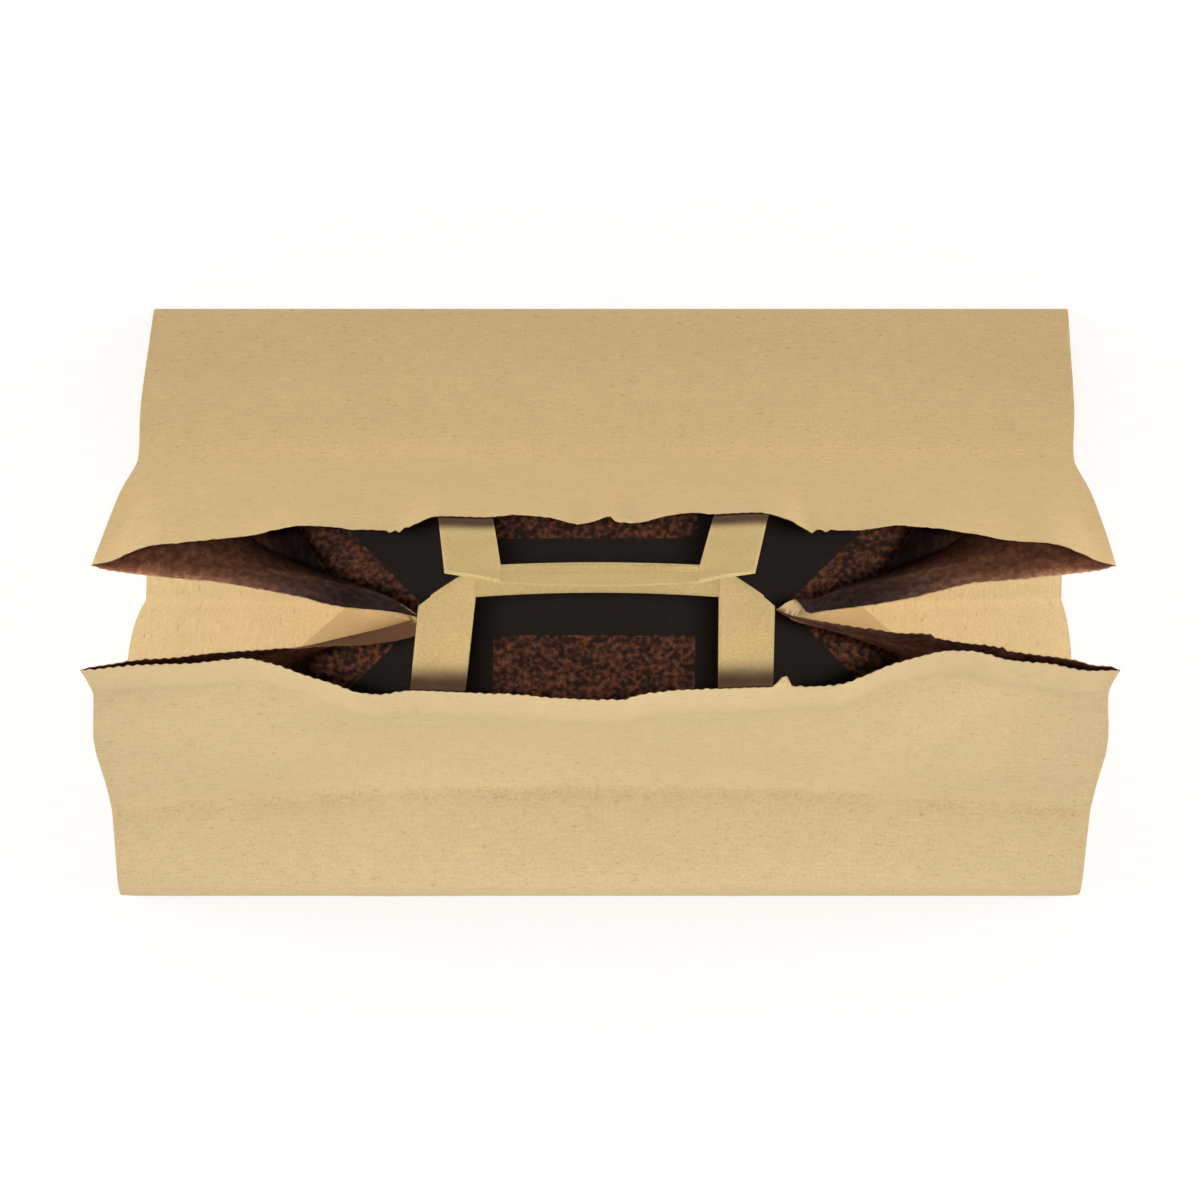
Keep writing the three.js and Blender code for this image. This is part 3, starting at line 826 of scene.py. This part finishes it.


# Papers, with their base and speck, base and painted leg shade, or dark and light colours
OUTSIDE = kraft("kraft_outside", (0.645, 0.465, 0.235, 1), (0.42, 0.24, 0.09, 1))
# Inside of the sheet: the kraft darkened with painted shade
SHADED_INSIDE = mottled("kraft_inside_painted_shade", (0.19, 0.083, 0.05, 1), (0.5, 0.224, 0.118, 1), 0.35, 0.7, (420, 110))
CUT_EDGE = kraft("kraft_cut_edge", (0.6, 0.43, 0.22, 1), (0.36, 0.2, 0.08, 1))
TAPE = tape_paper("kraft_tape", (0.62, 0.447, 0.192, 1), (0.07, 0.036, 0.017, 1))
# Patches: the kraft darkened with painted shade
SHADED_PATCH = mottled("kraft_patch", (0.2, 0.08, 0.05, 1), (0.46, 0.2, 0.12, 1), 0.35, 0.7)
# Bottom inside: painted light glowing through its single paper, and painted shade on its glued layers
BOTTOM_SINGLE_PAINTED_GLOW = mottled("bottom_single_paper_painted_glow", (0.072, 0.041, 0.034, 1), (0.6, 0.213, 0.1, 1), 0.4, 0.68)
BOTTOM_LAYERS_PAINTED_SHADE = mottled(
    "bottom_glued_layers_painted_shade", (0.058, 0.046, 0.041, 1), (0.067, 0.05, 0.044, 1), 0.4, 0.65)


def gusset(front_mouth, back_mouth, tip_reach, side):
    """The three grids of a right-hand gusset."""
    front_half = gusset_half(front, BAG_WIDTH, front_mouth, tip_reach)
    back_half = reversed_grid(gusset_half(back, BAG_WIDTH, back_mouth, tip_reach))
    return [front_half, back_half, gusset_facet(BAG_WIDTH, side)]


def bag_sheet():
    """The folded sheet, with its left-hand gusset made as a right-hand one and mirrored."""
    grids = [panel_grid(front, 0), panel_grid(back, BAG_WIDTH + BASE_DEPTH)]
    grids += gusset(RIGHT_FRONT_MOUTH, RIGHT_BACK_MOUTH, RIGHT_TIP_REACH, RIGHT_SIDE)
    left = gusset(LEFT_FRONT_MOUTH, LEFT_BACK_MOUTH, LEFT_TIP_REACH, LEFT_SIDE)
    grids += [mirrored(grid) for grid in left]
    mesh = mesh_from("bag_sheet", grids)
    sheet = place_piece(mesh, [OUTSIDE, SHADED_INSIDE, CUT_EDGE], PAPER_THICKNESS, "bag_body")


def prism(outline, low, high):
    """A flat layer of paper: an outline of (x, y) points between two levels."""
    count = len(outline)
    points = [(x, y, z) for z in (low, high) for x, y in outline]
    faces = [list(range(count))[::-1], list(range(count, 2 * count))]
    faces += [[i, (i + 1) % count, count + (i + 1) % count, count + i] for i in range(count)]
    return points, faces


def layers_mesh(name, layers):
    """One mesh of flat layers, each an outline, two levels and the index of its material."""
    points, faces, materials = [], [], []
    for outline, low, high, material in layers:
        layer_points, layer_faces = prism(outline, low, high)
        faces += [[len(points) + i for i in face] for face in layer_faces]
        materials += [material] * len(layer_faces)
        points += layer_points
    mesh = bpy.data.meshes.new(name)
    mesh.from_pydata((skewed(np.array(points)) * MM).tolist(), [], faces)
    mesh.polygons.foreach_set("material_index", materials)
    corners = [points[vertex][:2] for face in faces for vertex in face]
    mesh.uv_layers.new(name="paper").data.foreach_set("uv", (np.array(corners) * MM).ravel())
    for attribute in ("tone", "inside"):
        set_values(mesh, attribute, np.ones(len(points)))
    return mesh


def plate_side(side):
    """The side edge of the bottom's single paper on the right-hand side, just inside the sheet's."""
    w = np.linspace(0, 1, BOTTOM_EDGE_POINTS)
    edge = np.concatenate([side_edge(front, w, side), side_edge(back, w, side)[-2::-1]])
    return edge[:, :2] - [PLATE_INSET, 0]


def bag_bottom():
    """The block bottom: an outer flap below, the single paper, and the ears and flap overlap inside."""
    edge = half_depth - FLAP_INSET
    end = half_width - FLAP_INSET
    reach = half_width - half_depth
    flap_front = FLAP_SHIFT - FLAP_OVERLAP / 2
    flap_back = FLAP_SHIFT + FLAP_OVERLAP / 2
    sides = np.concatenate([plate_side(RIGHT_SIDE), plate_side(LEFT_SIDE)[::-1] * [-1, 1]])
    single = [(x, y * (1 - PLATE_INSET / half_depth)) for x, y in sides]
    layers = [(single, FLAP_TOP, PLATE_TOP, 0)]
    for s, ear_end, (ahead, behind) in zip((-1, 1), EAR_ENDS, EAR_SHIFTS):
        corner = (s * (reach + (ahead + behind) / 2), (ahead - behind) / 2)
        ear = [(ear_end, -edge), (s * end, -edge), (s * end, ahead - edge), corner,
               (s * end, edge - behind), (s * end, edge), (ear_end, edge)]
        # An edge that isn't shifted gives the same point twice, which is dropped
        ear = list(dict.fromkeys(ear))
        layers.append((ear[::s], PLATE_TOP, EAR_TOP, 1))
    overlap = [(-reach, flap_front), (reach, flap_front), (reach, flap_back), (-reach, flap_back)]
    layers.append((overlap, PLATE_TOP, OVERLAP_TOP, 1))
    inner_end = end - edge + flap_front
    back_flap = [(-end, edge), (-inner_end, flap_front), (inner_end, flap_front), (end, edge)]
    layers.append((back_flap, 0.0, FLAP_TOP, 2))
    mesh = layers_mesh("bag_bottom", layers)
    place_piece(mesh, [BOTTOM_SINGLE_PAINTED_GLOW, BOTTOM_LAYERS_PAINTED_SHADE, OUTSIDE])


class HandlePath:
    """Side path of a handle: down the inside of its panel, and leaning inwards above the mouth."""

    def __init__(self, panel, leans, rise, legs, bow, painted_leg_shade, corner_drop):
        self.panel = panel
        self.corner_drop = corner_drop
        self.steepness = (TAPE_WIDTH + corner_drop) / TAPE_WIDTH
        # Painted light of the tape: darker on the front handle, lighter on the back one
        self.tone = FRONT_TAPE_PAINTED_LIGHT if panel is front else BACK_TAPE_PAINTED_LIGHT
        self.rise = rise
        self.legs = legs
        self.bow = bow
        self.painted_leg_shade = painted_leg_shade
        self.free = bent_profile(leans, (STEEP_START, rise - TAPE_WIDTH), HANDLE_SPREADS, (0, 0))
        self.level = np.mean([self.mouth(foot)[0] for foot, _ in legs])

    def mouth(self, x):
        """Inward place and height of the panel's mouth edge."""
        points = self.panel.points(x, SHEET_HEIGHT)
        return self.panel.facing * points[..., 1], points[..., 2]

    def at(self, x, height):
        """Inward place and height of the path, at places across the bag and heights above the mouth."""
        glued = self.panel.points(x, SHEET_HEIGHT + np.minimum(height, 0))
        mouth_y, mouth_z = self.mouth(x)
        free_y, free_z = self.free(np.maximum(height, 0))
        share = ease(height / (self.rise - TAPE_WIDTH))
        top = ease((height - self.rise + TAPE_WIDTH) / TAPE_WIDTH)
        middle = (self.legs[0][1] + self.legs[1][1]) / 2
        arch = 1 - np.clip((x - middle) / BOW_HALF_LENGTH, -1, 1) ** 2
        bow = lerp(self.bow[0] * share, self.bow[1], top) * arch
        above_y = lerp(mouth_y, self.level, share) + free_y + bow
        y = np.where(height < 0, self.panel.facing * glued[..., 1], above_y)
        return y, np.where(height < 0, glued[..., 2], mouth_z + free_z)

    def points(self, x, height, depth):
        """Points by place across the bag, height above the mouth, and depth from the panel's outside."""
        x, height = np.broadcast_arrays(np.asarray(x, float), np.asarray(height, float))
        y, z = self.at(x, height)
        ahead_y, ahead_z = self.at(x, height + SLOPE_STEP)
        slope = np.hypot(ahead_y - y, ahead_z - z)
        y, z = y + depth * (ahead_z - z) / slope, z - depth * (ahead_y - y) / slope
        return np.stack([x, self.panel.facing * y, z], -1)


def tape_leg(path, leg, glued, depth):
    """A leg, its top cut by the slanting fold."""
    foot, top = leg
    side = math.copysign(1, foot)
    fold_start = path.rise - TAPE_WIDTH
    cut_start = fold_start - path.corner_drop
    straight = np.linspace(-glued, cut_start, LEG_POINTS[0])
    cut_part = np.linspace(cut_start, path.rise, LEG_POINTS[1])[1:]
    heights = np.concatenate([straight, cut_part])[:, None]
    middle = lerp(foot, top, np.minimum(heights / fold_start, 1))
    cut = np.clip((heights - cut_start) / path.steepness, 0, TAPE_WIDTH - POINT_WIDTH)
    inner, outer = middle - side * TAPE_WIDTH / 2, middle + side * (TAPE_WIDTH / 2 - cut)
    x = lerp(inner, outer, np.linspace(0, 1, TAPE_POINTS_ACROSS)[None, :])
    order = slice(None, None, int(side * path.panel.facing))
    points = path.points(x, heights, depth)[:, order]
    u, v = heights + 0 * x, side * (x - middle)
    # Painted shade on the leg, fading upwards above the mouth
    leg_shading = 1 - ease((heights - path.painted_leg_shade[0]) / (path.painted_leg_shade[1] - path.painted_leg_shade[0])) + 0 * x
    return Grid(points, u[:, order], v[:, order], leg_shading[:, order], tone=path.tone)


def tape_bar(path, depth):
    """The crossbar, its ends cut by the slanting folds."""
    left, right = path.legs[0][1], path.legs[1][1]
    half = TAPE_WIDTH / 2
    end = TAPE_WIDTH / path.steepness - half
    left_end = np.linspace(left - end, left + half, BAR_END_POINTS)[:-1]
    right_end = np.linspace(right - half, right + end, BAR_END_POINTS)[1:]
    x = np.concatenate([left_end, np.linspace(left + half, right - half, BAR_POINTS), right_end])
    x = x[None, ::path.panel.facing]
    beyond = np.maximum(left + half - x, x - right + half)
    top = path.rise - np.clip(beyond * path.steepness, 0, TAPE_WIDTH - POINT_WIDTH)
    heights = lerp(path.rise - TAPE_WIDTH, top, np.linspace(0, 1, TAPE_POINTS_ACROSS)[:, None])
    return Grid(path.points(x, heights, depth), x + 0 * heights, heights, tone=path.tone)


def handle(name, panel, legs, glued, rise, leans, bow, painted_leg_shade, corner_drop):
    """A handle: its two legs next to the panel's inside, and its crossbar folded over them."""
    path = HandlePath(panel, leans, rise, legs, bow, painted_leg_shade, corner_drop)
    near = PAPER_THICKNESS + GLUE_GAP
    far = near + TAPE_THICKNESS
    grids = [tape_leg(path, leg, glued, near) for leg in legs] + [tape_bar(path, far)]
    place_piece(mesh_from(name, grids, weld=False), [TAPE, TAPE, TAPE], TAPE_THICKNESS, name)


def patch(name, panel):
    """The paper strip over the ends of a handle's legs."""
    columns, rows = PATCH_POINTS
    x = panel.facing * np.linspace(-PATCH_LENGTH / 2, PATCH_LENGTH / 2, columns)[None, :]
    top = SHEET_HEIGHT - PATCH_DROP
    heights = np.linspace(top - PATCH_HEIGHT, top, rows)[:, None]
    points = panel.points(x, heights)
    points[..., 1] += panel.facing * (PAPER_THICKNESS + TAPE_THICKNESS + 2 * GLUE_GAP)
    mesh = mesh_from(name, [Grid(points, x + 0 * heights, heights + 0 * x)])
    place_piece(mesh, [SHADED_PATCH, SHADED_PATCH, SHADED_PATCH], PAPER_THICKNESS, name)


def area_light(name, place, size, power):
    """A lamp that faces the middle of the base."""
    lamp = bpy.data.lights.new(name, "AREA")
    lamp.size = size
    lamp.energy = power
    light = bpy.data.objects.new(name, lamp)
    light.location = place
    light.rotation_euler = (-Vector(place)).to_track_quat("-Z", "Y").to_euler()
    bpy.context.scene.collection.objects.link(light)
    return lamp


def directly_seen(tree):
    """1 where a surface is seen by itself or in a shiny or clear one, and 0 where it only gives light."""
    seen = tree.nodes.new("ShaderNodeLightPath").outputs
    sums = [tree.nodes.new("ShaderNodeMath") for _ in range(2)]
    for total, (a, b) in zip(sums, ((seen["Is Camera Ray"], seen["Is Glossy Ray"]),
                                    (sums[0].outputs[0], seen["Is Transmission Ray"]))):
        total.operation = "MAXIMUM"
        tree.links.new(a, total.inputs[0])
        tree.links.new(b, total.inputs[1])
    return sums[1].outputs[0]


def surroundings():
    """A white world, dimmer as light on the bag than as it shows."""
    world = bpy.data.worlds.new("studio")
    world.use_nodes = True
    bpy.context.scene.world = world
    tree = world.node_tree
    background = tree.nodes["Background"]
    background.inputs["Color"].default_value = (1, 1, 1, 1)
    strength = tree.nodes.new("ShaderNodeMapRange")
    strength.inputs["To Min"].default_value = SURROUNDING_LIGHT
    strength.inputs["To Max"].default_value = 1
    tree.links.new(directly_seen(tree), strength.inputs["Value"])
    tree.links.new(strength.outputs[0], background.inputs["Strength"])


def studio_floor():
    """A floor that shows as white and keeps the bag's faint shadow."""
    n = Nodes("studio_floor")
    places = n.add("TexCoord").outputs["Object"]
    grain = n.noise(places, (300, 300), 2)
    away = n.add("VectorMath", {0: places}, operation="LENGTH").outputs["Value"]
    darker, lighter = (scaled((1, 1, 1), FLOOR_GREY + change) for change in (-FLOOR_GRAIN, FLOOR_GRAIN))
    matt = n.add("BsdfDiffuse", {"Color": n.mix(n.remap(grain, 0.3, 0.7), darker, lighter)})
    brightness = n.remap(away, *GLOW_REACH, FLOOR_GLOW, 1)
    glow = n.add("Emission", {"Strength": n.math("MULTIPLY", directly_seen(n.tree), brightness)})
    both = n.add("AddShader", {0: matt.outputs[0], 1: glow.outputs[0]})
    n.tree.links.new(both.outputs[0], n.add("OutputMaterial").inputs[0])
    mesh = bpy.data.meshes.new("studio_floor")
    corners = [(x * FLOOR_HALF_SIZE, y * FLOOR_HALF_SIZE, FLOOR_LEVEL) for x, y in (
        (-1, -1), (1, -1), (1, 1), (-1, 1))]
    mesh.from_pydata(corners, [], [(0, 1, 2, 3)])
    mesh.materials.append(n.material)
    floor = bpy.data.objects.new("studio_floor", mesh)
    bpy.context.scene.collection.objects.link(floor)


def studio():
    """White surroundings and floor, low lamps on all sides, and a narrow strip of light over the mouth."""
    surroundings()
    studio_floor()
    for name, place, power in LAMPS:
        area_light(name, place, LAMP_SIZE, power)
    strip = area_light("strip_over_mouth", STRIP_PLACE, STRIP_SIZE[0], STRIP_POWER)
    strip.shape = "RECTANGLE"
    strip.size_y = STRIP_SIZE[1]
    strip.spread = math.radians(STRIP_SPREAD)
    bpy.context.scene.view_settings.view_transform = "Standard"


def photo_camera():
    """A camera that sees the bag as the photograph does, facing the middle of the base."""
    lens = bpy.data.cameras.new("photo_camera")
    lens.lens = CAMERA_LENS
    lens.sensor_width = CAMERA_SENSOR
    camera = bpy.data.objects.new("photo_camera", lens)
    camera.location = CAMERA_PLACE
    camera.rotation_euler = (-camera.location).to_track_quat("-Z", "Y").to_euler()
    bpy.context.scene.collection.objects.link(camera)
    bpy.context.scene.camera = camera


photo_camera()
studio()
bag_sheet()
bag_bottom()
handle("front_handle", front, FRONT_LEGS, FRONT_LEG_GLUED, FRONT_RISE, FRONT_HANDLE_LEANS, FRONT_BOW,
       FRONT_LEG_PAINTED_SHADE, FRONT_CORNER_DROP)
handle("back_handle", back, BACK_LEGS, BACK_LEG_GLUED, BACK_RISE, BACK_HANDLE_LEANS, BACK_BOW,
       BACK_LEG_PAINTED_SHADE, BACK_CORNER_DROP)
patch("front_handle_patch", front)
patch("back_handle_patch", back)
